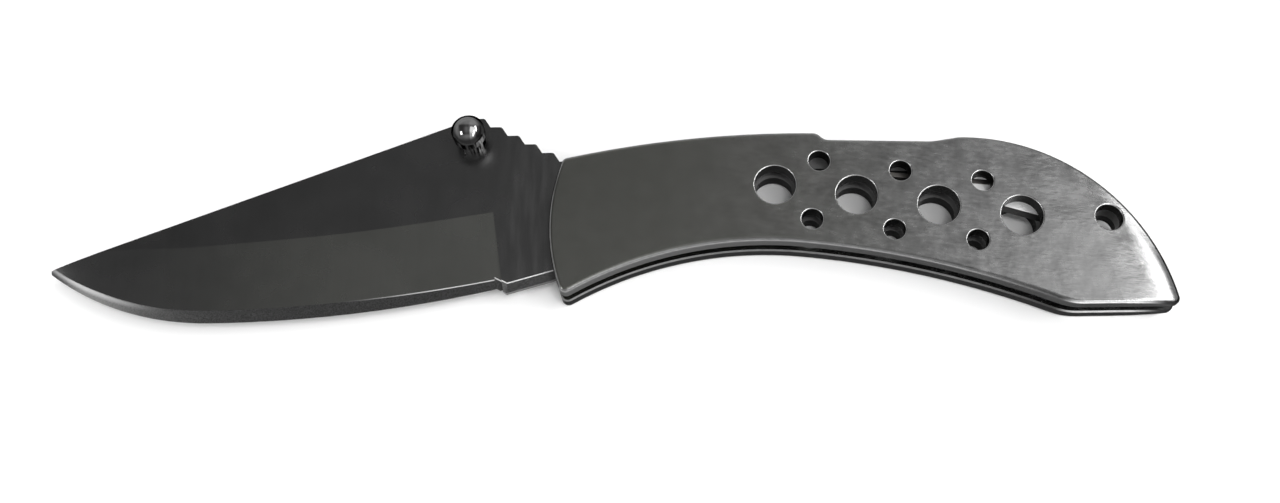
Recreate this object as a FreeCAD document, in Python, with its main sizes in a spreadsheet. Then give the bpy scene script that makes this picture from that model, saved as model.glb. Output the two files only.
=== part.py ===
import FreeCAD, Part
import math
import os
from collections import namedtuple

import Sketcher

# A lockback folding knife, drawn open and lying on its rear scale.
# +X points to the butt, +Y to the spine and +Z away from the rear scale.
# Every outline is measured from the pivot's centre, with the blade open and the lock engaged.

# Driving dimensions in millimetres and degrees
SIZES = {
    # Where the pivot stands from the middle of the open knife
    "pivot_x": -1.35,
    "pivot_y": -2.03,
    # Layers across the handle
    "scale_thickness": 2.9,
    "slot_width": 2.5,
    "blade_thickness": 2.1,
    "lock_bar_thickness": 2.3,
    "spring_width": 2.1,
    "washer_thickness": 0.15,
    # Front end of the handle
    "front_top_x": -5.1,
    "front_foot_x": -4.95,
    "front_foot_y": -13.6,
    "front_radius": 34.7,
    # Spine and thumb notch
    "spine_radius": 180.0,
    "spine_crest_x": 33.0,
    "spine_crest_y": 15.5,
    "notch_front_x": 38.9,
    "notch_front_run": 1.4,
    "notch_front_y": 14.1,
    "notch_back_run": 4.8,
    "notch_back_y": 13.45,
    # Butt
    "butt_radius": 35.2,
    "butt_start_x": 63.4,
    "butt_start_y": 14.17,
    "butt_corner_x": 97.7,
    "butt_foot_y": -16.2,
    "foot_length": 18.2,
    # Belly
    "belly_crest_x": 36.0,
    "belly_crest_y": -4.75,
    "belly_front_radius": 66.0,
    # Rounding of the scales
    "corner_radius": 1.2,
    "heel_radius": 10.0,
    "notch_radius": 1.8,
    "hump_radius": 8.0,
    "edge_radius": 0.7,
    "inner_chamfer": 0.25,
    "crown_reach": 47.7,
    "crown_rise": 3.8,
    "crown_start_angle": 83.0,
    "crown_fall": 1.5,
    # Lightening holes and lanyard hole
    "hole_row_x": 31.45,
    "hole_row_y": 5.7,
    "hole_pitch": 13.92,
    "hole_row_angle": 8.64,
    "large_hole_radius": 3.5,
    "small_hole_radius": 1.8,
    "small_hole_offset": 5.4,
    "lanyard_angle": 39.2,
    "lanyard_inset": 3.75,
    "lanyard_radius": 2.3,
    "rim_radius": 0.25,
    # Pins, rivets and washers
    "pivot_radius": 2.3,
    "rocker_x": 24.5,
    "rocker_y": 11.8,
    "rocker_radius": 1.25,
    "rivet_radius": 1.2,
    "front_rivet_angle": 77.9,
    "front_rivet_inset": 3.1,
    "middle_rivet_angle": 58.1,
    "middle_rivet_inset": 3.85,
    "rear_rivet_angle": 31.1,
    "rear_rivet_inset": 2.3,
    "washer_radius": 6.0,
    "running_clearance": 0.06,
    # Butt spacer and lock spring
    "spacer_front_y": 4.45,
    "spacer_bend_x": 76.0,
    "spacer_bend_y": 0.45,
    "spacer_end_inset": 10.9,
    "spacer_end_y": -6.0,
    "spacer_end_angle": 26.0,
    "spring_thickness": 0.8,
    "spring_mouth_y": 7.15,
    "spring_angle": 6.5,
    "spring_reach": 15.4,
    "spring_seat": 5.0,
    "spring_clearance": 0.05,
    # Lock bar
    "lock_travel_angle": 2.6,
    "tooth_back": 23.4,
    "tooth_length": 2.6,
    "hook_depth": 0.9,
    "lock_bar_under_y": 8.9,
    "lock_bar_step_x": 27.0,
    "lock_tail_start_x": 30.0,
    "lock_tail_under_y": 10.4,
    "lock_tail_gap": 0.8,
    "lock_bar_inset": 0.3,
    "lock_clearance": 0.2,
    # Blade outline
    "tip_x": -94.6,
    "tip_spine_y": -6.8,
    "tip_height": 0.6,
    "hump_x": -21.6,
    "hump_y": 20.6,
    "tip_run": 28.6,
    "edge_low_y": -16.55,
    "edge_heel_x": -16.4,
    "edge_heel_y": -11.1,
    "ricasso_tip_x": -14.7,
    "ricasso_tip_y": -12.0,
    "ricasso_back_x": -7.2,
    "ricasso_back_y": -9.9,
    "ricasso_bevel_height": 1.5,
    "ricasso_bevel_depth": 0.55,
    # Thumb steps on the spine
    "hump_length": 2.05,
    "step_pitch": 3.11,
    "ramp_foot_y": 12.0,
    "riser_run": 1.1,
    "step_round": 0.6,
    # Tang
    "tang_radius": 8.2,
    "notch_floor_gap": 0.15,
    "fold_angle": 167.5,
    "closed_seat_angle": 15.5,
    # Grinds of the blade
    "grind_tip_y": -3.58,
    "grind_radius": 481.0,
    "plunge_x": -17.0,
    "plunge_tilt": 8.4,
    "grind_edge_half": 0.36,
    "bevel_heel_height": 1.6,
    "bevel_middle_height": 2.2,
    "bevel_tip_height": 1.35,
    "edge_half": 0.05,
    # Thumb stud and its screw
    "stud_x": -21.7,
    "stud_drop": 4.35,
    "stud_collar_radius": 2.55,
    "stud_collar_height": 2.3,
    "stud_neck_radius": 2.2,
    "stud_neck_height": 0.5,
    "stud_head_radius": 2.9,
    "stud_head_height": 1.8,
    "stud_dome_height": 1.8,
    "stud_shank_radius": 1.2,
    "stud_screw_radius": 0.7,
    "stud_screw_head_radius": 2.0,
}

LARGE_HOLES = 4
THUMB_STEPS = 5
# Sections of the grinds, as shares of the way from the plunge to just past the tip
GRIND_STATIONS = (0.0, 0.22, 0.42, 0.60, 0.74, 0.87, 1.0)
# The crown's cut as a share of the way to the foot's corner, so that it ends outside the scale
CROWN_OVERRUN = 1.125
RIVETS = ("front", "middle", "rear")

doc = FreeCAD.newDocument("FoldingKnife")
sheet = doc.addObject("Spreadsheet::Sheet", "Sizes")
for row, (alias, number) in enumerate(SIZES.items(), start=1):
    sheet.set(f"A{row}", str(number))
    sheet.setAlias(f"A{row}", alias)
doc.recompute()


# Dimensions that know their number and their sheet formula


class Dim:
    """A size with its number and the sheet formula that gives it."""

    def __init__(self, number, formula):
        self.number = number
        self.formula = formula

    def __add__(self, other):
        other = as_dim(other)
        return Dim(self.number + other.number, f"({self.formula} + {other.formula})")

    def __radd__(self, other):
        return as_dim(other) + self

    def __sub__(self, other):
        other = as_dim(other)
        return Dim(self.number - other.number, f"({self.formula} - {other.formula})")

    def __rsub__(self, other):
        return as_dim(other) - self

    def __mul__(self, other):
        other = as_dim(other)
        return Dim(self.number * other.number, f"({self.formula} * {other.formula})")

    def __rmul__(self, other):
        return as_dim(other) * self

    def __truediv__(self, other):
        other = as_dim(other)
        return Dim(self.number / other.number, f"({self.formula} / {other.formula})")

    def __neg__(self):
        return -1.0 * self


def as_dim(value):
    return value if isinstance(value, Dim) else Dim(float(value), f"({float(value)})")


def size(alias):
    return Dim(float(sheet.get(alias)), f"Sizes.{alias}")


def sine(angle):
    return Dim(math.sin(math.radians(angle.number)), f"sin({angle.formula})")


def cosine(angle):
    return Dim(math.cos(math.radians(angle.number)), f"cos({angle.formula})")


def root(value):
    return Dim(math.sqrt(value.number), f"sqrt({value.formula})")


def span(run, rise):
    return root(run * run + rise * rise)


def slope(rise, run):
    return Dim(math.degrees(math.atan2(rise.number, run.number)), f"atan2({rise.formula}; {run.formula})")


# Sketches and features


Corner = namedtuple("Corner", "x y bend", defaults=(None,))
TANGENT = "tangent"
Y_AXIS = FreeCAD.Vector(0, 1, 0)
Z_AXIS = FreeCAD.Vector(0, 0, 1)


def bind(thing, name, dim):
    thing.setExpression(name, as_dim(dim).formula)


def place(thing, x, y, z, turn=None):
    """Stand a sub-part on the knife, turned clockwise by an angle if one is given."""
    angle = turn.number if turn else 0.0
    thing.Placement = FreeCAD.Placement(FreeCAD.Vector(), FreeCAD.Rotation(-Z_AXIS, angle))
    bind(thing, "Placement.Base.x", size("pivot_x") + x)
    bind(thing, "Placement.Base.y", size("pivot_y") + y)
    bind(thing, "Placement.Base.z", z)
    if turn:
        bind(thing, "Placement.Rotation.Angle", turn)


def new_body(label):
    body = doc.addObject("PartDesign::Body", label)
    body.Label = label
    return body


def origin_plane(body, role):
    return next(item for item in body.Origin.OriginFeatures if item.Role == role)


def new_sketch(body, name, role="XY_Plane"):
    sketch = body.newObject("Sketcher::SketchObject", name)
    sketch.AttachmentSupport = (origin_plane(body, role), [""])
    sketch.MapMode = "FlatFace"
    return sketch


def turn_sketch(sketch, axis, angle):
    """Turn a sketch about an axis of its own plane by an angle that may have either sign."""
    if angle.number < 0:
        axis, angle = -axis, -angle
    sketch.AttachmentOffset = FreeCAD.Placement(FreeCAD.Vector(), FreeCAD.Rotation(axis, angle.number))
    bind(sketch, "AttachmentOffset.Rotation.Angle", angle)


def constrain(sketch, rules):
    """Add each rule, a constraint with the dimension that drives it, or None where nothing does."""
    first = len(sketch.Constraints)
    sketch.addConstraint([rule for rule, dim in rules])
    for index, (rule, dim) in enumerate(rules, start=first):
        if dim is not None:
            sketch.setExpression(f"Constraints[{index}]", dim.formula)


def coordinate_rules(item, end, x, y):
    x, y = as_dim(x), as_dim(y)
    return [
        (Sketcher.Constraint("DistanceX", item, end, x.number), x),
        (Sketcher.Constraint("DistanceY", item, end, y.number), y),
    ]


def corner_point(corner):
    return FreeCAD.Vector(as_dim(corner.x).number, as_dim(corner.y).number, 0)


def arc_centre(start, finish, bend, heading):
    """Centre of the arc from start to finish, and whether it turns left."""
    chord = finish - start
    if bend == TANGENT:
        side = Z_AXIS.cross(heading).normalize()
        radius = chord.dot(chord) / (2 * side.dot(chord))
        return start + side * radius, radius > 0
    side = Z_AXIS.cross(chord).normalize()
    rise = math.sqrt(bend.number ** 2 - chord.Length ** 2 / 4)
    return (start + finish) / 2 + side * math.copysign(rise, bend.number), bend.number > 0


def draw_outline(sketch, corners):
    """Draw one closed loop. A corner's bend shapes the stretch after it: a radius, positive where
    the arc turns left and negative where it turns right, or TANGENT to run on smoothly."""
    stretches = []
    heading = None
    for index, corner in enumerate(corners):
        start = corner_point(corner)
        finish = corner_point(corners[(index + 1) % len(corners)])
        if corner.bend is None:
            heading = finish - start
            stretches.append((sketch.addGeometry(Part.LineSegment(start, finish), False), 1, 2))
            continue
        centre, turns_left = arc_centre(start, finish, corner.bend, heading)
        circle = Part.Circle(centre, Z_AXIS, (start - centre).Length)
        spoke = finish - centre
        heading = Z_AXIS.cross(spoke) if turns_left else spoke.cross(Z_AXIS)
        low, high = (start, finish) if turns_left else (finish, start)
        arc = Part.ArcOfCircle(circle, circle.parameter(low), circle.parameter(high))
        ends = (1, 2) if turns_left else (2, 1)
        stretches.append((sketch.addGeometry(arc, False), *ends))
    rules = []
    for index, corner in enumerate(corners):
        item, begin, end = stretches[index]
        before, before_begin, before_end = stretches[index - 1]
        joint = "Tangent" if corner.bend == TANGENT else "Coincident"
        rules.append((Sketcher.Constraint(joint, before, before_end, item, begin), None))
        rules += coordinate_rules(item, begin, corner.x, corner.y)
        if isinstance(corner.bend, Dim):
            radius = corner.bend if corner.bend.number > 0 else -corner.bend
            rules.append((Sketcher.Constraint("Radius", item, radius.number), radius))
    constrain(sketch, rules)


def draw_circle(sketch, x, y, radius):
    centre = corner_point(Corner(x, y))
    item = sketch.addGeometry(Part.Circle(centre, Z_AXIS, radius.number), False)
    rules = coordinate_rules(item, 3, x, y)
    rules.append((Sketcher.Constraint("Radius", item, radius.number), radius))
    constrain(sketch, rules)


def pad(body, sketch, thickness, symmetric=False):
    feature = body.newObject("PartDesign::Pad", "Pad")
    feature.Profile = sketch
    feature.SideType = "Symmetric" if symmetric else "One side"
    bind(feature, "Length", thickness)
    doc.recompute()
    return feature


def cut_through(body, sketch):
    """Cut a sketch right through the body, and make sure that it did cut."""
    before = body.Shape.Volume
    feature = body.newObject("PartDesign::Pocket", "Pocket")
    feature.Profile = sketch
    feature.Type = "ThroughAll"
    feature.SideType = "Symmetric"
    doc.recompute()
    if body.Shape.Volume >= before:
        raise RuntimeError(f"{sketch.Label} cut nothing from {body.Label}")
    return feature


def dress(body, kind, edges, amount):
    """Round or bevel the edges of the body's last feature that pass a test."""
    base = body.Tip
    names = [f"Edge{n}" for n, edge in enumerate(base.Shape.Edges, start=1) if edges(edge)]
    feature = body.newObject(f"PartDesign::{kind}", kind)
    feature.Base = (base, names)
    bind(feature, "Radius" if kind == "Fillet" else "Size", amount)
    doc.recompute()
    return feature


def is_upright(edge):
    first, last = (vertex.Point for vertex in edge.Vertexes) if len(edge.Vertexes) == 2 else (None, None)
    return first is not None and (last - first).cross(Z_AXIS).Length < 1e-6


def stands_at(*corners):
    """A test for upright edges that stand at one of some corners of an outline."""

    def stands(edge):
        point = middle(edge)
        gaps = [abs(point.x - corner.x.number) + abs(point.y - corner.y.number) for corner in corners]
        return is_upright(edge) and min(gaps) < 1e-4

    return stands


def middle(edge):
    return edge.valueAt((edge.FirstParameter + edge.LastParameter) / 2)


# Levels across the handle, from the rear scale's outer face


SCALE = size("scale_thickness")
SLOT = size("slot_width")
HANDLE = 2 * SCALE + SLOT
MIDDLE = HANDLE / 2


# Sizes that follow from others on the same piece


TOOTH_FRONT = size("tooth_back") + size("tooth_length")
TOOTH_BOTTOM = size("tang_radius") - size("hook_depth")
TIP_EDGE = size("tip_spine_y") - size("tip_height")
EDGE_LOW = size("tip_x") + size("tip_run")
STUD_Y = size("hump_y") - size("stud_drop")


# Places that several sub-parts share


def on_spine(x, inset=0.0):
    """Height of the handle's spine above a place along it, or of a line inset below it."""
    run = x - size("spine_crest_x")
    radius = size("spine_radius") - inset
    return size("spine_crest_y") - size("spine_radius") + root(radius * radius - run * run)


def on_butt(angle, inset=0.0):
    """A place at an angle round the butt's arc, or inset from it. The arc's centre stands off
    the chord between the two corners that the arc joins."""
    run = size("butt_corner_x") - size("butt_start_x")
    fall = size("butt_start_y") - size("butt_foot_y")
    stand_off = root(size("butt_radius") * size("butt_radius") / (run * run + fall * fall) - 0.25)
    centre_x = (size("butt_start_x") + size("butt_corner_x")) / 2 - stand_off * fall
    centre_y = (size("butt_start_y") + size("butt_foot_y")) / 2 - stand_off * run
    reach = size("butt_radius") - inset
    return Corner(centre_x + reach * cosine(angle), centre_y + reach * sine(angle))


def lanyard_place():
    return on_butt(size("lanyard_angle"), size("lanyard_inset"))


def rivet_places():
    return [on_butt(size(f"{name}_rivet_angle"), size(f"{name}_rivet_inset")) for name in RIVETS]


# Handle scales


def scale_outline():
    return [
        Corner(size("front_top_x"), on_spine(size("front_top_x")), size("front_radius")),
        Corner(size("front_foot_x"), size("front_foot_y"), -size("belly_front_radius")),
        Corner(size("belly_crest_x"), size("belly_crest_y"), TANGENT),
        Corner(size("butt_corner_x") - size("foot_length"), size("butt_foot_y")),
        Corner(size("butt_corner_x"), size("butt_foot_y"), size("butt_radius")),
        Corner(size("butt_start_x"), size("butt_start_y")),
        Corner(size("butt_start_x") - size("notch_back_run"), size("notch_back_y")),
        Corner(size("notch_front_x") + size("notch_front_run"), size("notch_front_y")),
        Corner(size("notch_front_x"), on_spine(size("notch_front_x")), size("spine_radius")),
    ]


def draw_lightening_holes(sketch):
    along_x = cosine(size("hole_row_angle"))
    along_y = -sine(size("hole_row_angle"))
    for index in range(LARGE_HOLES):
        run = index * size("hole_pitch")
        draw_circle(sketch, size("hole_row_x") + run * along_x, size("hole_row_y") + run * along_y,
                    size("large_hole_radius"))
    for index in range(LARGE_HOLES - 1):
        run = (index + 0.5) * size("hole_pitch")
        for offset in (size("small_hole_offset"), -size("small_hole_offset")):
            draw_circle(sketch, size("hole_row_x") + run * along_x - offset * along_y,
                        size("hole_row_y") + run * along_y + offset * along_x, size("small_hole_radius"))


def crown_butt(body, level, outward):
    """Roll an outer face at a level down towards the butt with one turned cut. It starts at nothing
    at a place on the butt's arc and falls away to the foot's corner, and a little past it."""
    centre_x = size("butt_corner_x") - size("crown_reach")
    centre_y = size("butt_foot_y") - size("crown_rise")
    first = on_butt(size("crown_start_angle"))
    run = first.x - centre_x
    rise = first.y - centre_y
    start = span(run, rise)
    fall = size("crown_fall")
    width = span(size("crown_reach"), size("crown_rise")) - start
    radius = (width * width + fall * fall) / (2 * fall)
    past = width * CROWN_OVERRUN
    sketch = new_sketch(body, "CrownProfile", "XZ_Plane")
    sketch.AttachmentOffset = FreeCAD.Placement()
    bind(sketch, "AttachmentOffset.Base.x", centre_x)
    bind(sketch, "AttachmentOffset.Base.z", -centre_y)
    draw_outline(sketch, [
        Corner(start, level, -outward * radius),
        Corner(start + past, level - outward * (radius - root(radius * radius - past * past))),
        Corner(start + past, level + outward * SCALE),
        Corner(start, level + outward * SCALE),
    ])
    groove = body.newObject("PartDesign::Groove", "Crown")
    groove.Profile = sketch
    groove.ReferenceAxis = (sketch, ["V_Axis"])
    bind(groove, "Angle", 2 * slope(rise, run))
    groove.Midplane = True
    doc.recompute()


def make_scale(label, level, outward):
    """One handle scale; outward is +1 where its outer face looks up and -1 where it looks down."""
    body = new_body(label)
    inner_face = 0.0 if outward > 0 else SCALE.number
    outline = new_sketch(body, "Outline")
    corners = scale_outline()
    front_top, front_foot, _, heel, butt_corner = corners[:5]
    butt_start, notch_back, notch_floor, notch_front = corners[5:]
    draw_outline(outline, corners)
    pad(body, outline, SCALE)
    dress(body, "Fillet", stands_at(front_top, front_foot, butt_corner), size("corner_radius"))
    dress(body, "Fillet", stands_at(notch_floor, notch_front), size("notch_radius"))
    dress(body, "Fillet", stands_at(butt_start, notch_back), size("hump_radius"))
    dress(body, "Fillet", stands_at(heel), size("heel_radius"))
    crown_butt(body, SCALE if outward > 0 else as_dim(0.0), outward)

    def is_outer_rim(edge):
        outer = (middle(edge).z - SCALE.number / 2) * outward > 0
        return outer and not is_upright(edge) and touches_wall(body.Tip.Shape, edge)

    def is_inner_rim(edge):
        return abs(middle(edge).z - inner_face) < 1e-6 and not is_upright(edge)

    dress(body, "Fillet", is_outer_rim, size("edge_radius"))
    dress(body, "Chamfer", is_inner_rim, size("inner_chamfer"))
    lanyard = lanyard_place()
    holes = new_sketch(body, "Holes")
    draw_lightening_holes(holes)
    draw_circle(holes, lanyard.x, lanyard.y, size("lanyard_radius"))
    cut_through(body, holes)

    def is_hole_rim(edge):
        outer = (middle(edge).z - SCALE.number / 2) * outward > 0
        return outer and not is_upright(edge) and touches_bore(body.Tip.Shape, edge)

    dress(body, "Fillet", is_hole_rim, size("rim_radius"))
    pins = new_sketch(body, "PinHoles")
    draw_circle(pins, 0.0, 0.0, size("pivot_radius"))
    draw_circle(pins, size("rocker_x"), size("rocker_y"), size("rocker_radius"))
    for centre in rivet_places():
        draw_circle(pins, centre.x, centre.y, size("rivet_radius"))
    cut_through(body, pins)
    place(body, 0.0, 0.0, level)
    return body


def touches_wall(shape, edge):
    """Whether an edge borders an upright wall of the outline."""
    for face in shape.ancestorsOfType(edge, Part.Face):
        u, v = face.Surface.parameter(middle(edge))
        if abs(face.normalAt(u, v).z) < 1e-3:
            return True
    return False


def touches_bore(shape, edge):
    """Whether an edge borders the wall of a drilled hole."""
    bores = [size(f"{name}_radius").number for name in ("large_hole", "small_hole", "lanyard")]
    for face in shape.ancestorsOfType(edge, Part.Face):
        if isinstance(face.Surface, Part.Cylinder):
            if min(abs(face.Surface.Radius - radius) for radius in bores) < 1e-6:
                return True
    return False


# Butt spacer and the leaf spring seated in it


def make_butt_spacer():
    body = new_body("butt_spacer")
    end = on_butt(size("spacer_end_angle"))
    outline = new_sketch(body, "Outline")
    draw_outline(outline, [
        Corner(size("butt_start_x"), size("butt_start_y")),
        Corner(size("butt_start_x"), size("spacer_front_y")),
        Corner(size("spacer_bend_x"), size("spacer_bend_y"), TANGENT),
        Corner(size("butt_corner_x") - size("spacer_end_inset"), size("spacer_end_y")),
        Corner(end.x, end.y, size("butt_radius")),
    ])
    pad(body, outline, SLOT)
    lanyard = lanyard_place()
    holes = new_sketch(body, "Holes")
    draw_circle(holes, lanyard.x, lanyard.y, size("lanyard_radius"))
    for centre in rivet_places():
        draw_circle(holes, centre.x, centre.y, size("rivet_radius"))
    cut_through(body, holes)
    seat = new_sketch(body, "SpringSeat")
    turn_sketch(seat, -Z_AXIS, size("spring_angle"))
    bind(seat, "AttachmentOffset.Base.x", size("butt_start_x"))
    bind(seat, "AttachmentOffset.Base.y", size("spring_mouth_y"))
    half = size("spring_thickness") / 2 + size("spring_clearance")
    depth = size("spring_seat") + size("spring_clearance")
    draw_outline(seat, [
        Corner(-size("spring_thickness"), -half),
        Corner(depth, -half),
        Corner(depth, half),
        Corner(-size("spring_thickness"), half),
    ])
    cut_through(body, seat)
    place(body, 0.0, 0.0, SCALE)
    return body


def make_lock_spring():
    body = new_body("lock_spring")
    half = size("spring_thickness") / 2
    outline = new_sketch(body, "Outline")
    draw_outline(outline, [
        Corner(-size("spring_reach"), -half),
        Corner(size("spring_seat"), -half),
        Corner(size("spring_seat"), half),
        Corner(-size("spring_reach"), half, size("spring_thickness")),
    ])
    pad(body, outline, size("spring_width"))
    place(body, size("butt_start_x"), size("spring_mouth_y"), MIDDLE - size("spring_width") / 2,
          size("spring_angle"))
    return body


# Pins, rivets and washers


def make_pin(label, x, y, radius):
    """A pin through the whole handle, its ends ground flush with the crowned scales."""
    body = new_body(label)
    section = new_sketch(body, "Section")
    draw_circle(section, x, y, radius)
    pad(body, section, HANDLE)
    crown_butt(body, HANDLE, 1)
    crown_butt(body, as_dim(0.0), -1)
    place(body, 0.0, 0.0, 0.0)
    return body


def make_washer(label, level):
    body = new_body(label)
    rings = new_sketch(body, "Rings")
    draw_circle(rings, 0.0, 0.0, size("washer_radius"))
    draw_circle(rings, 0.0, 0.0, size("pivot_radius") + size("running_clearance"))
    pad(body, rings, size("washer_thickness"))
    place(body, 0.0, 0.0, level)
    return body


# Lock bar, drawn about the rocker pin and handed over pressed


def around_rocker(radius, y):
    """Place along X of a tooth face that is turned about the rocker pin."""
    return -root(radius * radius - y * y)


def make_lock_bar():
    body = new_body("lock_bar")
    rocker_x, rocker_y = size("rocker_x"), size("rocker_y")
    tooth_y = TOOTH_BOTTOM - rocker_y
    under_y = size("lock_bar_under_y") - rocker_y
    tail_y = size("lock_tail_under_y") - rocker_y
    tail_x = size("butt_start_x") - size("lock_tail_gap") - rocker_x
    inset = size("lock_bar_inset")
    front_y = on_spine(rocker_x - TOOTH_FRONT, inset) - rocker_y
    tail_top_y = on_spine(tail_x + rocker_x, inset) - rocker_y
    outline = new_sketch(body, "Outline")
    draw_outline(outline, [
        Corner(around_rocker(TOOTH_FRONT, front_y), front_y, TOOTH_FRONT),
        Corner(around_rocker(TOOTH_FRONT, tooth_y), tooth_y),
        Corner(around_rocker(size("tooth_back"), tooth_y), tooth_y, -size("tooth_back")),
        Corner(around_rocker(size("tooth_back"), under_y), under_y),
        Corner(size("lock_bar_step_x") - rocker_x, under_y),
        Corner(size("lock_tail_start_x") - rocker_x, tail_y),
        Corner(tail_x, tail_y),
        Corner(tail_x, tail_top_y, size("spine_radius") - inset),
    ])
    pad(body, outline, size("lock_bar_thickness"))
    bore = new_sketch(body, "RockerBore")
    draw_circle(bore, 0.0, 0.0, size("rocker_radius") + size("running_clearance"))
    cut_through(body, bore)
    place(body, rocker_x, rocker_y, MIDDLE - size("lock_bar_thickness") / 2, size("lock_travel_angle"))
    return body


# Blade


def cutting_arc(end_x, end_y):
    """Radius of the cutting edge's arc from its lowest point, where it lies level, to an end."""
    run = end_x - EDGE_LOW
    rise = end_y - size("edge_low_y")
    return (run * run + rise * rise) / (2 * rise)


def thumb_steps():
    """The steps of the thumb ramp, each a tread's end and the foot of its riser."""
    corners = []
    drop = (size("hump_y") - size("ramp_foot_y")) / THUMB_STEPS
    for index in range(THUMB_STEPS):
        x = size("hump_x") + size("hump_length") + index * size("step_pitch")
        y = size("hump_y") - index * drop
        corners.append(Corner(x, y))
        corners.append(Corner(x + size("riser_run"), y - drop))
    return corners


def lock_notch():
    """The notch in the tang's top that takes the tooth, with walls turned about the rocker pin."""
    rocker_x, rocker_y = size("rocker_x"), size("rocker_y")
    front = TOOTH_FRONT + size("lock_clearance")
    back = size("tooth_back") - size("lock_clearance")
    top_x = rocker_x - front
    top_y = on_spine(top_x)
    floor_y = TOOTH_BOTTOM - size("notch_floor_gap")
    hook_y = root(size("tang_radius") * size("tang_radius") - back_x(back) * back_x(back))
    return [
        Corner(rocker_x + around_rocker(front, top_y - rocker_y), top_y, front),
        Corner(rocker_x + around_rocker(front, floor_y - rocker_y), floor_y),
        Corner(rocker_x + around_rocker(back, floor_y - rocker_y), floor_y),
        Corner(back_x(back), hook_y, -size("tang_radius")),
    ]


def back_x(back):
    """Place along X of the hook's top on the notch's rear wall."""
    return size("rocker_x") + around_rocker(back, size("tang_radius") - size("rocker_y"))


def closed_seat():
    """The flat under the tang that the tooth rests on when the blade is folded."""
    distance = TOOTH_BOTTOM - size("notch_floor_gap")
    facing = size("fold_angle") - 90
    half_chord = root(size("tang_radius") * size("tang_radius") - distance * distance)
    reach = distance * sine(size("closed_seat_angle")) / cosine(size("closed_seat_angle"))
    foot_x = distance * cosine(facing)
    foot_y = -distance * sine(facing)
    return [
        Corner(foot_x + half_chord * sine(facing), foot_y + half_chord * cosine(facing)),
        Corner(foot_x - reach * sine(facing), foot_y - reach * cosine(facing)),
    ]


def blade_outline():
    heel_arc = cutting_arc(size("edge_heel_x"), size("edge_heel_y"))
    tip_arc = cutting_arc(size("tip_x"), TIP_EDGE)
    return [
        Corner(size("tip_x"), size("tip_spine_y")),
        Corner(size("hump_x"), size("hump_y")),
        *thumb_steps(),
        *lock_notch(),
        *closed_seat(),
        Corner(size("ricasso_back_x"), size("ricasso_back_y")),
        Corner(size("ricasso_tip_x"), size("ricasso_tip_y")),
        Corner(size("edge_heel_x"), size("edge_heel_y"), -heel_arc),
        Corner(EDGE_LOW, size("edge_low_y"), -tip_arc),
        Corner(size("tip_x"), TIP_EDGE),
    ]


def edge_height(x):
    """Height of the cutting edge at a place along the blade."""
    run = x - EDGE_LOW
    if run.number > 0:
        radius = cutting_arc(size("edge_heel_x"), size("edge_heel_y"))
    else:
        radius = cutting_arc(size("tip_x"), TIP_EDGE)
    return size("edge_low_y") + radius - root(radius * radius - run * run)


def grind_height(x):
    """Height of the line where the ground face leaves the flat of the blade."""
    run = x - size("tip_x")
    return size("grind_tip_y") + run * run / (2 * size("grind_radius"))


def ground_half(x, height):
    """Half thickness of the ground face at a height above the cutting edge."""
    rise = grind_height(x) - edge_height(x)
    return size("grind_edge_half") + (size("blade_thickness") / 2 - size("grind_edge_half")) * height / rise


def bevel_height(x):
    """Height of the sharpened bevel above the edge, fullest half way along the blade."""
    share = (x - size("plunge_x")) / (size("tip_x") - size("plunge_x"))
    heel, half_way, tip = (size(f"bevel_{place}_height") for place in ("heel", "middle", "tip"))
    rise = 4 * half_way - 3 * heel - tip
    bend = 2 * heel + 2 * tip - 4 * half_way
    return heel + share * rise + share * share * bend


def draw_wedge(sketch, upper, lower, spare):
    """A triangle whose long side runs through two places, each a height and a half thickness,
    and on past both by a spare height."""
    high, thick = upper
    low, thin = lower
    lean = (thick - thin) / (high - low)
    top = thick + spare * lean
    draw_outline(sketch, [
        Corner(high + spare, top),
        Corner(low - spare, thin - spare * lean),
        Corner(low - spare, top),
    ])


def cut_foot_bevel(body, start, finish, lead):
    """Bevel the foot of the ricasso from a lead before one corner to well past the next."""
    height = size("ricasso_bevel_height")
    half = size("blade_thickness") / 2
    run = finish.x - start.x
    rise = finish.y - start.y
    length = root(run * run + rise * rise)
    sketch = new_sketch(body, "FootBevelSection", "YZ_Plane")
    turn_sketch(sketch, Y_AXIS, slope(rise, run))
    bind(sketch, "AttachmentOffset.Base.x", start.y - lead * rise / length)
    bind(sketch, "AttachmentOffset.Base.z", start.x - lead * run / length)
    draw_wedge(sketch, (height, half), (as_dim(0.0), half - size("ricasso_bevel_depth")), height / 2)
    feature = body.newObject("PartDesign::Pocket", "FootBevel")
    feature.Profile = sketch
    feature.Reversed = True
    bind(feature, "Length", lead + length + 2 * height)
    doc.recompute()
    return feature


def grind_cutters(body, name, upper, lower, spare):
    """Cut one ground face: a loft of wedges between an upper and a lower line along the blade."""
    sections = []
    for index, share in enumerate(GRIND_STATIONS):
        x = size("plunge_x") + share * (size("tip_x") - size("bevel_middle_height") - size("plunge_x"))
        sketch = new_sketch(body, f"{name}Section", "YZ_Plane")
        if index == 0:
            turn_sketch(sketch, Y_AXIS, size("plunge_tilt"))
        bind(sketch, "AttachmentOffset.Base.z", x)
        draw_wedge(sketch, upper(x), lower(x), spare)
        sections.append(sketch)
    before = body.Shape.Volume
    loft = body.newObject("PartDesign::SubtractiveLoft", name)
    loft.Profile = sections[0]
    loft.Sections = sections[1:]
    doc.recompute()
    if body.Shape.Volume >= before:
        raise RuntimeError(f"{name} cut nothing from {body.Label}")
    return loft


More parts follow.
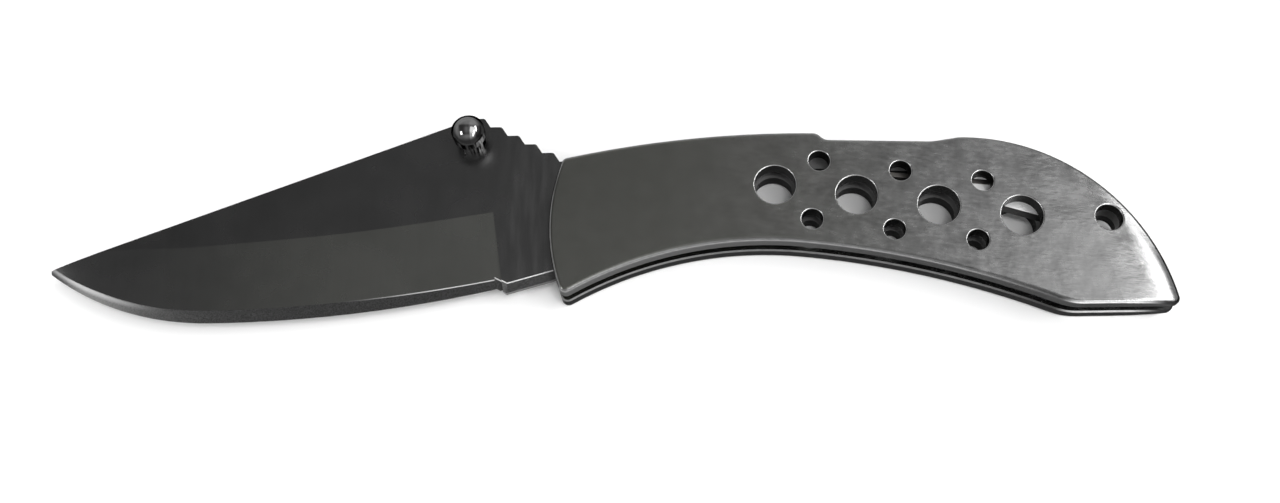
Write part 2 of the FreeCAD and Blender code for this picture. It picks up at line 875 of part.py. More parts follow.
def make_blade():
    body = new_body("blade")
    half = size("blade_thickness") / 2
    outline = new_sketch(body, "Outline")
    draw_outline(outline, blade_outline())
    pad(body, outline, size("blade_thickness"), symmetric=True)
    dress(body, "Fillet", stands_at(*thumb_steps()[::2]), size("step_round"))
    bores = new_sketch(body, "Bores")
    draw_circle(bores, 0.0, 0.0, size("pivot_radius") + size("running_clearance"))
    draw_circle(bores, size("stud_x"), STUD_Y, size("stud_shank_radius"))
    cut_through(body, bores)

    def is_stud_rear_rim(edge):
        point = middle(edge)
        near = abs(point.x - size("stud_x").number) < 2 * size("stud_shank_radius").number
        return len(edge.Vertexes) == 1 and near and point.z < 0

    dress(body, "Chamfer", is_stud_rear_rim, size("stud_screw_head_radius") - size("stud_shank_radius"))

    def flat(x):
        return grind_height(x), half

    def thin_foot(x):
        return edge_height(x), size("grind_edge_half")

    def bevel_top(x):
        return edge_height(x) + bevel_height(x), ground_half(x, bevel_height(x))

    def sharp(x):
        return edge_height(x), size("edge_half")

    spare = size("bevel_middle_height")
    grind = grind_cutters(body, "PrimaryGrind", flat, thin_foot, spare)
    sharpened = grind_cutters(body, "EdgeBevel", bevel_top, sharp, spare / 2)
    heel = Corner(size("edge_heel_x"), size("edge_heel_y"))
    foot = Corner(size("ricasso_tip_x"), size("ricasso_tip_y"))
    back = Corner(size("ricasso_back_x"), size("ricasso_back_y"))
    front_bevel = cut_foot_bevel(body, heel, foot, as_dim(0.0))
    long_bevel = cut_foot_bevel(body, foot, back, size("ricasso_bevel_height") / 2)
    mirrored = body.newObject("PartDesign::Mirrored", "OtherSide")
    mirrored.Originals = [grind, sharpened, front_bevel, long_bevel]
    mirrored.MirrorPlane = (origin_plane(body, "XY_Plane"), [""])
    body.Tip = mirrored
    doc.recompute()
    place(body, 0.0, 0.0, MIDDLE)
    return body


# Thumb stud and the screw that holds it from behind


def make_turned(label, corners, level):
    """A piece turned about the stud's axis, from its half profile."""
    body = new_body(label)
    profile = new_sketch(body, "Profile", "XZ_Plane")
    draw_outline(profile, corners)
    turned = body.newObject("PartDesign::Revolution", "Turned")
    turned.Profile = profile
    turned.ReferenceAxis = (profile, ["V_Axis"])
    turned.Angle = 360.0
    doc.recompute()
    place(body, size("stud_x"), STUD_Y, level)
    return body


def make_thumb_stud():
    thickness = size("blade_thickness")
    head = size("stud_screw_head_radius") - size("stud_shank_radius")
    collar, neck, top = (size(f"stud_{stage}_radius") for stage in ("collar", "neck", "head"))
    neck_start = size("stud_collar_height")
    head_start = neck_start + size("stud_neck_height")
    rim = head_start + size("stud_head_height")
    dome = size("stud_dome_height")
    return make_turned("thumb_stud", [
        Corner(size("stud_screw_radius"), head - thickness),
        Corner(size("stud_shank_radius"), head - thickness),
        Corner(size("stud_shank_radius"), 0.0),
        Corner(collar, 0.0),
        Corner(collar, neck_start),
        Corner(neck, neck_start),
        Corner(neck, head_start),
        Corner(top, head_start),
        Corner(top, rim, (top * top + dome * dome) / (2 * dome)),
        Corner(0.0, rim + dome),
        Corner(0.0, 0.0),
        Corner(size("stud_screw_radius"), 0.0),
    ], MIDDLE + thickness / 2)


def make_stud_screw():
    thickness = size("blade_thickness")
    head = size("stud_screw_head_radius") - size("stud_shank_radius")
    return make_turned("stud_screw", [
        Corner(0.0, 0.0),
        Corner(size("stud_screw_head_radius"), 0.0),
        Corner(size("stud_shank_radius"), head),
        Corner(size("stud_screw_radius"), head),
        Corner(size("stud_screw_radius"), thickness),
        Corner(0.0, thickness),
    ], MIDDLE - thickness / 2)


# Assembly


pieces = [
    make_scale("rear_scale", 0.0, -1),
    make_scale("front_scale", SCALE + SLOT, 1),
    make_butt_spacer(),
    make_lock_spring(),
    make_pin("pivot_pin", 0.0, 0.0, size("pivot_radius")),
    make_pin("rocker_pin", size("rocker_x"), size("rocker_y"), size("rocker_radius")),
    make_washer("rear_washer", SCALE),
    make_washer("front_washer", SCALE + SLOT - size("washer_thickness")),
    make_lock_bar(),
    make_blade(),
    make_thumb_stud(),
    make_stud_screw(),
]
for name, centre in zip(RIVETS, rivet_places()):
    pieces.append(make_pin(f"{name}_rivet", centre.x, centre.y, size("rivet_radius")))

doc.recompute()
for thing in doc.Objects:
    if "Invalid" in thing.State or "Error" in thing.State:
        raise RuntimeError(f"{thing.Label} failed to rebuild")
for piece in pieces:
    if piece.Shape.isNull() or not piece.Shape.isValid() or len(piece.Shape.Solids) != 1:
        raise RuntimeError(f"{piece.Label} is not one sound solid")

os.makedirs("parts", exist_ok=True)
for piece in pieces:
    piece.Shape.exportStep(f"parts/{piece.Label}.step")
    print(piece.Label, round(piece.Shape.Volume, 2))
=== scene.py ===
import math

import bpy
from mathutils import Matrix, Vector


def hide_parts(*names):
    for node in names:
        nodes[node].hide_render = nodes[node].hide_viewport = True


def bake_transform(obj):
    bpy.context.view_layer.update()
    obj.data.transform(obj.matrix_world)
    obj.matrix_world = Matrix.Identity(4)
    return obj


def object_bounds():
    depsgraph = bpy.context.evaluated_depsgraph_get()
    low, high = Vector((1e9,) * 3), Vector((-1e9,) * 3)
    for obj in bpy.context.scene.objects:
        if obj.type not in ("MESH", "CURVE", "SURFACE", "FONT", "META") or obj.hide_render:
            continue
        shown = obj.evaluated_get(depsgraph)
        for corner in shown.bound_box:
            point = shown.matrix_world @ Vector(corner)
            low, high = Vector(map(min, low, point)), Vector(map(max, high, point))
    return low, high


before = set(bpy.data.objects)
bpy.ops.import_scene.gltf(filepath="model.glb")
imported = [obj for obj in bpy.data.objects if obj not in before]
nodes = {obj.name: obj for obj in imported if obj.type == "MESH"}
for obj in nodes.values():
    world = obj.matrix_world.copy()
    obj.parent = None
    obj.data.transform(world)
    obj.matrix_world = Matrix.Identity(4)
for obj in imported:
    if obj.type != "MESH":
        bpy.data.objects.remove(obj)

cad_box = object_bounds()
scene = bpy.context.scene
scene.view_settings.view_transform = "Standard"


# Shader sums


class Wire:
    """A socket whose value changes over a surface. Sums with it add Math nodes."""

    def __init__(self, shop, socket):
        self.shop = shop
        self.socket = socket

    def __add__(self, other):
        return self.shop.maths("ADD", self, other)

    __radd__ = __add__

    def __sub__(self, other):
        return self.shop.maths("SUBTRACT", self, other)

    def __rsub__(self, other):
        return self.shop.maths("SUBTRACT", other, self)

    def __mul__(self, other):
        return self.shop.maths("MULTIPLY", self, other)

    __rmul__ = __mul__

    def __truediv__(self, other):
        return self.shop.maths("DIVIDE", self, other)

    def __rtruediv__(self, other):
        return self.shop.maths("DIVIDE", other, self)


class Shop:
    """A node tree that is being filled with nodes."""

    def __init__(self, tree):
        self.tree = tree
        self.tree.nodes.clear()

    def node(self, kind, settings=None, sockets=None, out=0):
        """Add a node: its settings first, then the values or links of its sockets."""
        made = self.tree.nodes.new("ShaderNode" + kind)
        for name, value in (settings or {}).items():
            setattr(made, name, value)
        for name, value in (sockets or {}).items():
            if isinstance(value, Wire):
                self.tree.links.new(value.socket, made.inputs[name])
            else:
                made.inputs[name].default_value = value
        return Wire(self, made.outputs[out]) if made.outputs else made

    def maths(self, operation, *values):
        return self.node("Math", {"operation": operation}, dict(enumerate(values)))

    def reach(self, run, rise):
        """How far off a point is, from its run and its rise."""
        return self.maths("SQRT", run * run + rise * rise)

    def place(self):
        """Where a point lies on its own piece, in metres."""
        return self.node("TexCoord", out="Object")

    def stretched(self, place, scale, turn=0.0):
        """Places turned about the handle's thickness, then scaled along each axis."""
        turned = self.node("VectorRotate", {"rotation_type": "Z_AXIS"}, {"Vector": place, "Angle": turn})
        return self.node("VectorMath", {"operation": "MULTIPLY"}, {0: turned, 1: scale})

    def grain(self, place, scale=1.0, detail=2.0, roughness=0.5):
        """Soft noise about one half. Its scale counts per metre."""
        return self.node("TexNoise", {}, {
            "Vector": place,
            "Scale": scale,
            "Detail": detail,
            "Roughness": roughness,
        })

    def between(self, value, low, high, start=0.0, finish=1.0):
        """A smooth step from start to finish as a value goes from low to high."""
        return self.node("MapRange", {"interpolation_type": "SMOOTHSTEP"}, {
            "Value": value,
            "From Min": low,
            "From Max": high,
            "To Min": start,
            "To Max": finish,
        })

    def parts(self, vector):
        """The three parts of a vector."""
        return [self.node("SeparateXYZ", {}, {"Vector": vector}, out=axis) for axis in "XYZ"]

    def facing(self):
        """The three parts of the direction that a face looks in."""
        return self.parts(self.node("NewGeometry", out="Normal"))

    def upright(self):
        """How level a face lies: 1 on the flats, 0 on the walls."""
        return self.maths("ABSOLUTE", self.facing()[2])

    def tint(self, share, dark, light):
        """A colour that goes from the first to the second by a share."""
        return self.node("Mix", {"data_type": "RGBA"}, {"Factor": share, 6: dark, 7: light}, out=2)

    def dents(self, height, depth, over=None):
        """The normal of a surface with small heights on it, as deep as given in metres."""
        sockets = {"Height": height, "Distance": depth, "Strength": 1.0}
        if over:
            sockets["Normal"] = over
        return self.node("Bump", {}, sockets)


def grey(level, warmth=0.0):
    return (level * (1 + warmth), level, level * (1 - warmth), 1.0)


def metal(name, make):
    """A metal finish. make gives its sockets, some of them changing over the surface."""
    material = bpy.data.materials.new(name)
    material.use_nodes = True
    shop = Shop(material.node_tree)
    sockets = {"Metallic": 1.0}
    sockets.update(make(shop))
    surface = shop.node("BsdfPrincipled", {}, sockets)
    shop.node("OutputMaterial", {}, {"Surface": surface})
    return material


# Values for the finishes

# Places on the handle, in metres, and the turn of its drilled row
ROW_TURN = math.radians(8.64)
ROW_START = Vector((0.03010, 0.00367, 0.0))
HOLE_PITCH = 0.01392
LARGE_HOLES = 4
LARGE_RIM = 0.0038
SMALL_OFFSET = 0.0054
SMALL_RIM = 0.0021
LANYARD = Vector((0.08585, -0.00318, 0.0))
LANYARD_RIM = 0.0026
RIM_FADE = 0.0002
HANDLE_MIDDLE = 0.00415
MATT_MARGIN = 0.0012
BUTT_CENTRE = Vector((0.06148, -0.02306))
BUTT_ARC = 0.0352

# Where a change on the handle begins and where it is full, in metres
ROW_END = (0.0260, 0.0255)
HANDLED = (0.005, 0.065)
# EDGE_DARKENS and the STREAK values place the painted highlight and painted shade on the rounded edges
EDGE_DARKENS = (0.058, 0.084)
STREAK_BEGINS = (0.076, 0.080)
STREAK_ENDS = (0.094, 0.088)
# REAR_SCALE: the height below which the walls take painted shade, on the scale that lies on the floor
REAR_SCALE = (0.0045, 0.0040)
INNER_FACES = (0.00135, 0.00130)
# The ROLL values place the painted shade on the roll within the butt's arc
ROLL_IN = (0.0020, 0.0009)
ROLL_LOW = (-0.001, -0.012)
ROLL_BACK = (0.084, 0.088)

# How level a face lies where its tone begins and where it is full
HOLE_EDGE = (0.97, 0.90)
ROUND_EDGE = (0.93, 0.84)
BORE_WALL = (0.6, 0.3)
WALL = (0.26, 0.08)
LOCK_FACE = (0.95, 0.99)
SPACER_FACE = (0.80, 0.95)
STUD_CROWN = (0.66, 0.88)
STUD_NECK = (0.35, 0.15)

# How far an edge faces the belly where the painted highlight streak at the butt's lower end begins and
# where it is full
STREAK_BELOW = (-0.15, -0.35)

# Places on the blade, in metres, and the slopes of its ricasso, which place the painted highlight lines
EDGE_LOW = Vector((-0.06735, -0.01858))
HEEL_ARC = 0.2284
TIP_ARC = 0.0493
PLUNGE = -0.01835
PLUNGE_FADE = 0.0004
BLADE_RUN = -0.0776
BEVEL_HEEL = 0.0016
BEVEL_SWELL = 0.00265
BEVEL_TAPER = 0.0029
RICASSO_TIP = Vector((-0.01605, -0.01403))
RICASSO_BEVEL = 0.0015
RICASSO_FRONT = math.radians(-27.9)
RICASSO_FOOT = math.radians(15.6)

# Where a change on the blade begins and where it is full, in metres
# Where the rubbed streaks and their painted highlight begin on the ricasso
RUB_AND_SHEEN_BEGINS = (-0.019, -0.0145)
GRIND_BEGINS = (-0.090, -0.045)
# The next values place the painted highlight lines along the bevels and the painted highlight band at the
# tip
LINE_WIDTH = (0.00013, 0.00006)
LINE_BEGINS = (-0.046, -0.026)
TIP_BAND_TOP = (-0.0001, 0.0002)
TIP_BAND_FOOT = (0.0011, 0.0003)
TIP_BAND_BEGINS = (-0.074, -0.090)

# How strong the painted highlight band at the tip is, as a share of the painted highlight lines
TIP_BAND_SHARE = 0.3

# How level the blade's faces lie where their tone begins and where it is full
GROUND_SIDE = (0.9999, 0.9995)
HONED_BEVEL = (0.988, 0.983)

# How deep the marks are, in metres
SWELL_DEPTH = 0.00007
SCRATCH_DEPTH = 0.000035
HONING_DEPTH = 0.000012
GRINDING_DEPTH = 0.000006
ROLLING_DEPTH = 0.000004
LATHE_DEPTH = 0.000003

# Tints
OLIVE_DARK = (0.186, 0.189, 0.172, 1.0)
OLIVE_LIGHT = (0.220, 0.223, 0.206, 1.0)
# Painted shade for the bore walls
BORE_SHADE = (0.018, 0.018, 0.017, 1.0)
SATIN_DARK = (0.164, 0.166, 0.156, 1.0)
SATIN_LIGHT = (0.182, 0.184, 0.173, 1.0)
BRONZE_DARK = (0.36, 0.22, 0.10, 1.0)
BRONZE_LIGHT = (0.50, 0.33, 0.16, 1.0)


# Finishes


def drilled(shop, place, margin=0.0):
    """1 within the rims of the drilled holes, or within a margin round them."""

    def hole(run, rise, rim):
        return shop.between(shop.reach(run, rise) - margin, rim + RIM_FADE, rim)

    from_start = shop.node("VectorMath", {"operation": "SUBTRACT"}, {0: place, 1: ROW_START})
    x, y, _ = shop.parts(shop.stretched(from_start, (1.0, 1.0, 1.0), ROW_TURN))
    run = shop.maths("PINGPONG", x, HOLE_PITCH / 2)
    large = hole(run, y, LARGE_RIM)
    small = hole(HOLE_PITCH / 2 - run, shop.maths("ABSOLUTE", y) - SMALL_OFFSET, SMALL_RIM)
    row_middle = (LARGE_HOLES - 1) / 2 * HOLE_PITCH
    in_row = shop.between(shop.maths("ABSOLUTE", x - row_middle), *ROW_END)
    lanyard_place = Matrix.Rotation(ROW_TURN, 3, "Z") @ (LANYARD - ROW_START)
    lanyard = hole(x - lanyard_place.x, y - lanyard_place.y, LANYARD_RIM)
    return shop.maths("MAXIMUM", shop.maths("MAXIMUM", large, small) * in_row, lanyard)


def painted_edge_light(shop, along, hairs):
    """The scales' rounded edges: a painted highlight at the front that gives way to painted shade towards
    the butt, with a painted highlight streak on its belly side.
    """
    front = shop.tint(hairs, grey(0.15), grey(0.34))
    edges = shop.tint(shop.between(along, *EDGE_DARKENS), front, grey(0.04))
    below = shop.between(shop.facing()[1], *STREAK_BELOW)
    foot_highlight = shop.between(along, *STREAK_BEGINS) * shop.between(along, *STREAK_ENDS) * below
    return shop.tint(foot_highlight, edges, shop.tint(hairs, grey(0.5), grey(1.0)))


def butt_roll_shade(shop, along, across):
    """1 on the painted shade of the roll just within the lower part of the butt's arc."""
    from_rim = BUTT_ARC - shop.reach(along - BUTT_CENTRE.x, across - BUTT_CENTRE.y)
    roll = shop.between(from_rim, *ROLL_IN) * shop.between(across, *ROLL_LOW)
    return roll * shop.between(along, *ROLL_BACK)


def brushed_handle(shop):
    """Scales and pins brushed lengthwise, more worn at the butt, with matt inner faces; painted
    highlights on the hole rims, the rounded edges and a streak at the butt, and painted shade on the
    walls, the butt's roll and the bore walls.
    """
    place = shop.place()
    along, across, height = shop.parts(place)
    level = shop.upright()

    hairs = shop.grain(shop.stretched(place, (800.0, 3400.0, 3400.0), ROW_TURN), detail=2.0)
    strokes = shop.grain(shop.stretched(place, (560.0, 1700.0, 1700.0), ROW_TURN), detail=1.0)
    clouds = shop.grain(place, scale=240.0, detail=4.0, roughness=0.6)
    broad = shop.grain(place, scale=150.0, detail=3.0)
    handled = shop.between(along, *HANDLED, 0.06, 1.0)
    patches = shop.between(broad, 0.42, 0.60, 0.3, 1.0)
    scratches = 0.5 + handled * patches * (0.4 * hairs + 0.6 * strokes - 0.5)
    swells = 0.5 + shop.between(handled, 0.0, 1.0, 0.4, 1.0) * (broad - 0.5)
    wear = 0.5 + (0.3 + 0.7 * handled) * (0.75 * clouds + 0.25 * strokes - 0.5)

    dark = shop.tint(handled, OLIVE_DARK, grey(0.192))
    light = shop.tint(handled, OLIVE_LIGHT, grey(0.252))
    steel = shop.tint(shop.between(wear, 0.35, 0.65), dark, light)
    # Painted highlight and painted shade on the rounded edges
    steel = shop.tint(shop.between(level, *ROUND_EDGE), steel, painted_edge_light(shop, along, hairs))
    # Painted shade on the walls: darker towards the butt and darkest low on the rear scale, which lies on
    # the floor
    walls = shop.tint(handled, grey(0.20), grey(0.13))
    walls = shop.tint(shop.between(height, *REAR_SCALE), walls, grey(0.085))
    steel = shop.tint(shop.between(level, *WALL), steel, walls)
    # Painted shade on the roll within the butt's arc
    steel = shop.tint(butt_roll_shade(shop, along, across), steel, grey(0.03))

    holes = drilled(shop, place)
    # Painted highlight on the hole rims
    steel = shop.tint(holes * shop.between(level, *HOLE_EDGE), steel, grey(0.45))
    # Painted shade on the bore walls
    bores = holes * shop.between(level, *BORE_WALL)
    inner = shop.between(shop.maths("ABSOLUTE", height - HANDLE_MIDDLE), *INNER_FACES)
    matt = inner * drilled(shop, place, MATT_MARGIN)
    steel = shop.tint(matt, steel, grey(0.20))
    return {
        "Specular Tint": grey(0.3),
        "Base Color": shop.tint(bores, steel, BORE_SHADE),
        "Metallic": 1.0 - 0.3 * bores - 0.7 * matt,
        "Roughness": 0.25 + handled * (0.20 * (clouds - 0.5) + 0.15 * (strokes - 0.5)),
        "Normal": shop.dents(scratches, SCRATCH_DEPTH, shop.dents(swells, SWELL_DEPTH)),
    }


def bevel_highlight_lines(shop, place):
    """1 on the painted highlight lines along the tops of the bevels, and a share of it in a painted
    highlight band at the tip.
    """
    x, y, _ = shop.parts(place)

    def thin(distance):
        return shop.between(shop.maths("ABSOLUTE", distance), *LINE_WIDTH)

    def depth(slope):
        across = Vector((-math.sin(slope), math.cos(slope)))
        return (x - RICASSO_TIP.x) * across.x + (y - RICASSO_TIP.y) * across.y

    run = x - EDGE_LOW.x
    radius = HEEL_ARC + (TIP_ARC - HEEL_ARC) * shop.maths("LESS_THAN", run, 0.0)
    edge = EDGE_LOW.y + radius - shop.maths("SQRT", radius * radius - run * run)
    share = (x - PLUNGE) / BLADE_RUN
    bevel = BEVEL_HEEL + BEVEL_SWELL * share - BEVEL_TAPER * share * share
    below = edge + bevel - y

    in_front = shop.between(x, PLUNGE + PLUNGE_FADE, PLUNGE)
    heel = thin(below) * shop.between(x, *LINE_BEGINS) * in_front
    behind = shop.between(x, PLUNGE, PLUNGE + PLUNGE_FADE)
    ricasso = shop.maths("MINIMUM", depth(RICASSO_FRONT), depth(RICASSO_FOOT))
    ricasso = thin(ricasso - RICASSO_BEVEL) * behind
    tip = shop.between(below, *TIP_BAND_TOP) * shop.between(below, *TIP_BAND_FOOT)
    tip = tip * shop.between(x, *TIP_BAND_BEGINS, 0.0, TIP_BAND_SHARE)
    return shop.maths("MAXIMUM", shop.maths("MAXIMUM", heel, ricasso), tip)


def satin_blade(shop):
    """Blade steel: dark flats with rubbed streaks lightened into a painted highlight on the ricasso,
    lighter satin on the ground sides, and coarse bevels with painted highlight lines.
    """
    place = shop.place()
    along = shop.parts(place)[0]
    level = shop.upright()

    fine = shop.grain(place, scale=4200.0, detail=2.0)
    pulls = shop.grain(shop.stretched(place, (1500.0, 140.0, 900.0)), detail=2.0)
    broad = shop.grain(place, scale=110.0, detail=2.0)
    rubs_and_sheen = shop.grain(shop.stretched(place, (620.0, 90.0, 1.0)), detail=2.0)
    rubbed = shop.between(rubs_and_sheen, 0.35, 0.75) * shop.between(along, *RUB_AND_SHEEN_BEGINS)
    ground = shop.between(level, *GROUND_SIDE) * shop.between(along, *GRIND_BEGINS)
    honed = shop.between(level, *HONED_BEVEL)
    lines = bevel_highlight_lines(shop, place)

    shade = shop.between(0.75 * broad + 0.25 * pulls, 0.3, 0.7)
    # The rubbed streaks on the ricasso are lightened as a painted highlight
    flats = shop.tint(rubbed, shop.tint(shade, grey(0.114), grey(0.130)), grey(0.17))
    sides = shop.tint(shade, SATIN_DARK, SATIN_LIGHT)
    bevels = shop.tint(fine, grey(0.02), grey(0.15))
    steel = shop.tint(honed, shop.tint(ground, flats, sides), bevels)
    return {
        # Painted highlight on the lines along the bevels
        "Base Color": shop.tint(lines, steel, grey(0.85)),
        "Roughness": 0.27 + 0.05 * (broad - 0.5) + honed * (0.06 + 0.2 * (fine - 0.5)) + 0.25 * lines,
        "Normal": shop.dents(0.5 + honed * (fine - 0.5), HONING_DEPTH),
    }


def polished_stud(shop):
    """Turned steel: grey crown, slopes with painted shade, painted highlight streaks down the neck, and
    faint lathe rings.
    """
    place = shop.place()
    level = shop.upright()
    rings = shop.grain(shop.stretched(place, (60.0, 60.0, 5200.0)), detail=2.0)
    film = shop.grain(place, scale=900.0, detail=3.0)
    streaks = shop.grain(shop.stretched(place, (2200.0, 2200.0, 150.0)), detail=1.0)
    # Painted highlight streaks down the neck
    neck = shop.tint(shop.between(streaks, 0.40, 0.62), grey(0.07), grey(1.0))
    # Painted shade on the slopes between crown and neck
    sides = shop.tint(shop.between(level, *STUD_NECK), grey(0.03), neck)
    crown = shop.tint(film, grey(0.19), grey(0.27))
    return {
        "Specular Tint": grey(0.2),
        "Base Color": shop.tint(shop.between(level, *STUD_CROWN), sides, crown),
        "Roughness": 0.09 + 0.10 * (film - 0.5) + 0.05 * (rings - 0.5),
        "Normal": shop.dents(rings, LATHE_DEPTH),
    }


def grinding_marks(shop, place):
    """Fine marks along the handle, left by the grinding wheel."""
    return shop.grain(shop.stretched(place, (300.0, 4200.0, 2600.0), ROW_TURN), detail=2.0)


def lock_steel(shop):
    """Ground steel of the lock bar and the stud's screw, duller on the faces that lie level."""
    place = shop.place()
    marks = grinding_marks(shop, place)
    clouds = shop.grain(place, scale=320.0, detail=3.0)
    steel = shop.tint(shop.between(0.5 * clouds + 0.5 * marks, 0.3, 0.7), grey(0.12), grey(0.18))
    faces = shop.between(shop.upright(), *LOCK_FACE)
    return {
        "Base Color": shop.tint(faces, steel, grey(0.14)),
        "Metallic": 1.0 - 0.4 * faces,
        "Roughness": 0.33 + 0.2 * (clouds - 0.5) + 0.15 * (marks - 0.5),
        "Normal": shop.dents(marks, GRINDING_DEPTH),
    }


def spacer_steel(shop):
    """The spacer, ground, with a painted highlight making its flat faces pale and painted shade on its
    walls and bore walls.
    """
    place = shop.place()
    level = shop.upright()
    marks = grinding_marks(shop, place)
    # Painted highlight on the flat faces
    bright = shop.tint(marks, grey(0.80), grey(0.95))
    # Painted shade on the walls
    walls = shop.tint(marks, grey(0.025), grey(0.05))
    faces = shop.between(level, *SPACER_FACE)
    # Painted shade on the bore walls
    bores = drilled(shop, place) * shop.between(level, *BORE_WALL)
    return {
        "Base Color": shop.tint(bores, shop.tint(faces, walls, bright), BORE_SHADE),
        "Metallic": 1.0 - 0.5 * faces - 0.3 * bores,
        "Roughness": 0.30 + 0.15 * (marks - 0.5),
        "Normal": shop.dents(marks, GRINDING_DEPTH),
    }


def spring_steel(shop):
    """Hardened spring steel, rolled lengthwise, with a warm bloom from tempering."""
    place = shop.place()
    bloom = shop.grain(place, scale=420.0, detail=3.0)
    rolled = shop.grain(shop.stretched(place, (240.0, 4000.0, 4000.0)), detail=2.0)
    return {
        "Base Color": shop.tint(shop.between(bloom, 0.35, 0.65), grey(0.13, 0.03), grey(0.19, 0.05)),
        "Roughness": 0.32 + 0.15 * (bloom - 0.5) + 0.1 * (rolled - 0.5),
        "Normal": shop.dents(rolled, ROLLING_DEPTH),
    }


def washer_bronze(shop):
    """Thin bronze sheet, clouded and finely rubbed by the blade."""
    place = shop.place()
    rubbed = shop.grain(place, scale=2400.0, detail=3.0)
    clouds = shop.grain(place, scale=300.0, detail=2.0)
    return {
        "Base Color": shop.tint(shop.between(clouds, 0.3, 0.7), BRONZE_DARK, BRONZE_LIGHT),
        "Roughness": 0.34 + 0.2 * (rubbed - 0.5),
        "Normal": shop.dents(rubbed, ROLLING_DEPTH),
    }


handle_finish = metal("brushed_handle_steel", brushed_handle)
blade_finish = metal("satin_blade_steel", satin_blade)
stud_finish = metal("polished_stud_steel", polished_stud)
lock_finish = metal("ground_lock_steel", lock_steel)
spacer_finish = metal("ground_spacer_steel", spacer_steel)
spring_finish = metal("tempered_spring_steel", spring_steel)
washer_finish = metal("washer_bronze", washer_bronze)

FINISHES = {
    "front_scale": handle_finish,
    "rear_scale": handle_finish,
    "butt_spacer": spacer_finish,
    "lock_spring": spring_finish,
    "pivot_pin": handle_finish,
    "rocker_pin": handle_finish,
    "front_rivet": handle_finish,
    "middle_rivet": handle_finish,
    "rear_rivet": handle_finish,
    "front_washer": washer_finish,
    "rear_washer": washer_finish,
    "lock_bar": lock_finish,
    "blade": blade_finish,
    "thumb_stud": stud_finish,
    "stud_screw": lock_finish,
}


def dress(piece, finish):
    """Give a piece one finish all over."""
    piece.data.materials.clear()
    piece.data.materials.append(finish)


for name, finish in FINISHES.items():
    dress(nodes[name], finish)


# Leaf spring: a copy of the lock spring that takes its place

leaf = bpy.data.objects.new("lock_spring_leaf", nodes["lock_spring"].data.copy())
scene.collection.objects.link(leaf)
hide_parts("lock_spring")
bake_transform(leaf)


# Floor

FLOOR_SIZE = 60.0
FLOOR_GAP = 0.0002
FLOOR_GLOW = 0.05
GLOW_BEGINS = (0.13, 0.40)


def paper_floor():
    """White paper that takes the shadow near the knife and shows its own white far from it."""
    material = bpy.data.materials.new("paper_floor")
    material.use_nodes = True
    shop = Shop(material.node_tree)
    paper = shop.node("BsdfDiffuse", {}, {"Color": grey(0.92)})
    glow = shop.node("Emission", {}, {"Color": grey(1.0), "Strength": 1.0})
    rays = ("Is Camera Ray", "Is Glossy Ray", "Is Transmission Ray")
    seen = sum(shop.node("LightPath", out=ray) for ray in rays)
    away = shop.node("VectorMath", {"operation": "LENGTH"}, {0: shop.place()}, out="Value")
    share = shop.between(away, *GLOW_BEGINS, FLOOR_GLOW, 1.0)
    mixed = shop.node("MixShader", {}, {0: share * seen, 1: paper, 2: glow})
    shop.node("OutputMaterial", {}, {"Surface": mixed})
    return material


bpy.ops.mesh.primitive_plane_add(size=FLOOR_SIZE, location=(0.0, 0.0, cad_box[0][2] - FLOOR_GAP))
floor = bpy.context.object
floor.name = "paper_floor"
floor.data.materials.append(paper_floor())


# Light


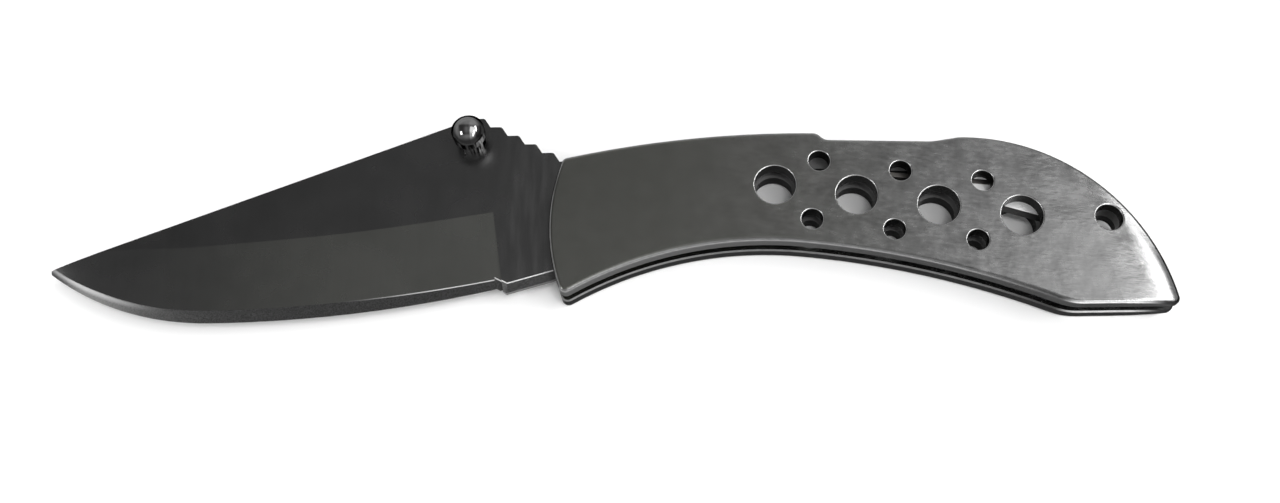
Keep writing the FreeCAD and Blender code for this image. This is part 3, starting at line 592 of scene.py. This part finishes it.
def studio_room():
    """A dim room with a lighter ceiling to the right and pale walls."""
    room = bpy.data.worlds.new("studio_room")
    room.use_nodes = True
    scene.world = room
    shop = Shop(room.node_tree)
    x, y, z = shop.parts(shop.node("TexCoord", out="Generated"))

    ceiling = shop.between(x, -0.55, -0.05, 0.11, 0.22) + shop.between(x, 0.02, 0.2, 0.0, 0.28)
    right = shop.between(x, 0.20, 0.31, 0.0, 1.6) * shop.between(y, 0.41, 0.31, 0.0, 1.8)
    ceiling = (ceiling + right) * shop.between(x, 0.70, 0.80, 1.0, 0.12)
    band = shop.between(y, 0.40, 0.22) * shop.between(x, -0.5, -0.12) * shop.between(x, 0.15, -0.05)
    overhead = (0.90 + 1.1 * band) * shop.between(y, -0.5, -0.05, 0.4, 1.0)

    low_walls = shop.between(z, 0.55, 0.30, 0.0, 0.30)
    near_wall = shop.between(y, -0.35, -0.65, 0.0, 0.45)
    far_wall = shop.between(y, 0.50, 0.70, 0.0, 0.4)
    left_wall = shop.between(x, -0.70, -0.85, 0.0, 0.35)
    walls = low_walls + near_wall + far_wall + left_wall

    level = shop.between(z, 0.25, 0.65, 0.20, 1.0) * ceiling * overhead + walls
    shade = shop.node("VectorMath", {"operation": "SCALE"}, {0: (1.0, 1.0, 1.0), "Scale": level})
    light = shop.node("Background", {}, {"Color": shade, "Strength": 1.0})
    shop.node("OutputWorld", {}, {"Surface": light})


def soft_box(name, towards, along, distance, length, width, watts, in_metal=True):
    """A soft lamp in a direction from the knife's middle, which faces it and lies along a line."""
    lamp = bpy.data.lights.new(name, "AREA")
    lamp.shape = "RECTANGLE"
    lamp.size = length
    lamp.size_y = width
    lamp.energy = watts
    stand = bpy.data.objects.new(name, lamp)
    scene.collection.objects.link(stand)
    away = Vector(towards).normalized()
    across = away.cross(Vector(along)).normalized()
    turn = Matrix((across.cross(away), across, away)).transposed().to_4x4()
    stand.matrix_world = Matrix.Translation(away * distance) @ turn
    stand.visible_glossy = in_metal


studio_room()
soft_box("window_back", towards=(0.74, 0.26, 0.62), along=(-0.25, 0.95, 0.0),
         distance=1.2, length=0.70, width=0.14, watts=4.0)
soft_box("window_right", towards=(0.61, -0.28, 0.74), along=(0.0, 1.0, 0.0),
         distance=1.2, length=0.80, width=0.16, watts=3.5)
soft_box("window_left", towards=(-0.64, -0.24, 0.73), along=(0.0, 1.0, 0.0),
         distance=1.2, length=0.40, width=0.24, watts=2.8)
soft_box("overhead", towards=(0.16, -0.18, 0.97), along=(1.0, 0.0, 0.0),
         distance=1.5, length=0.30, width=0.30, watts=5.0, in_metal=False)


# Camera

CAMERA_PLACE = Vector((0.01665, -0.08703, 0.2273))
CAMERA_RIGHT = Vector((0.99902, 0.0, -0.04428))
CAMERA_UP = Vector((0.01499, 0.94095, 0.33821))
CAMERA_BACK = Vector((0.04166, -0.33854, 0.94003))

camera = bpy.data.cameras.new("camera")
camera.lens = 38.81
camera.sensor_width = 36.0
camera.sensor_fit = "HORIZONTAL"
stand = bpy.data.objects.new("camera", camera)
scene.collection.objects.link(stand)
turn = Matrix((CAMERA_RIGHT, CAMERA_UP, CAMERA_BACK)).transposed().to_4x4()
stand.matrix_world = Matrix.Translation(CAMERA_PLACE) @ turn
scene.camera = stand
